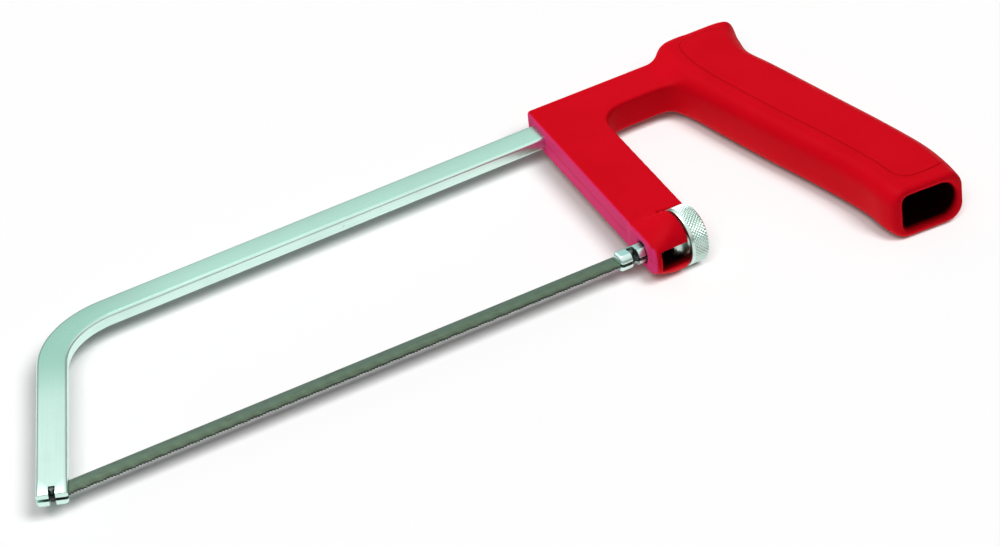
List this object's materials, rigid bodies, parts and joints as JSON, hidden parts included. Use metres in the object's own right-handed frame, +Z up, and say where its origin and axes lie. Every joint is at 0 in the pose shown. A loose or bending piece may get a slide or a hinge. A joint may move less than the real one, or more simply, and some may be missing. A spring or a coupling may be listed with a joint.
{
  "type": "pocket saw",
  "caption": "Small bow saw with a bent bar bow, a hollow moulded grip behind a finger gap, and a thin pinned blade pulled tight by a knurled nut on a threaded stud.",
  "frame": {"origin": "under the middle of the box of the saw as it lies flat on its side", "axes": "+X along the blade from the bow's leg to the handle, +Y from the blade to the spine, +Z up out of the side"},
  "size_m": [0.2316, 0.0976, 0.0148],
  "materials": {
    "plated_steel": "bright zinc plate",
    "handle_plastic": "satin moulding",
    "blade_steel": "rolled, tempered blue along the back",
    "pin_steel": "cut wire",
    "stud_steel": "bright zinc plate",
    "nut_steel": "bright zinc plate over a diamond knurl"
  },
  "bodies": {
    "frame": {"bow": "plated_steel", "handle": "handle_plastic"},
    "blade": {"blade": "blade_steel", "blade_front_pin": "pin_steel", "blade_rear_pin": "pin_steel"},
    "stud": {"tension_stud": "stud_steel"},
    "nut": {"knurled_nut": "nut_steel"}
  },
  "joints": [
    {"name": "blade_swing", "type": "hinge", "parent": "frame", "child": "blade", "pos_m": [-0.11174, -0.02215, 0.0074], "axis": [0, 0, -1], "range_deg": [0, 30]},
    {"name": "nut_turn", "type": "hinge", "parent": "frame", "child": "nut", "pos_m": [0.05326, -0.02215, 0.0074], "axis": [1, 0, 0], "range_deg": [0, 180]},
    {"name": "stud_slide", "type": "slide", "parent": "frame", "child": "stud", "axis": [-1, 0, 0], "range_m": [0, 0.00036]}
  ],
  "couplings": [
    {"joint": "stud_slide", "follows": "nut_turn", "m_per_rad": 0.00011141}
  ]
}
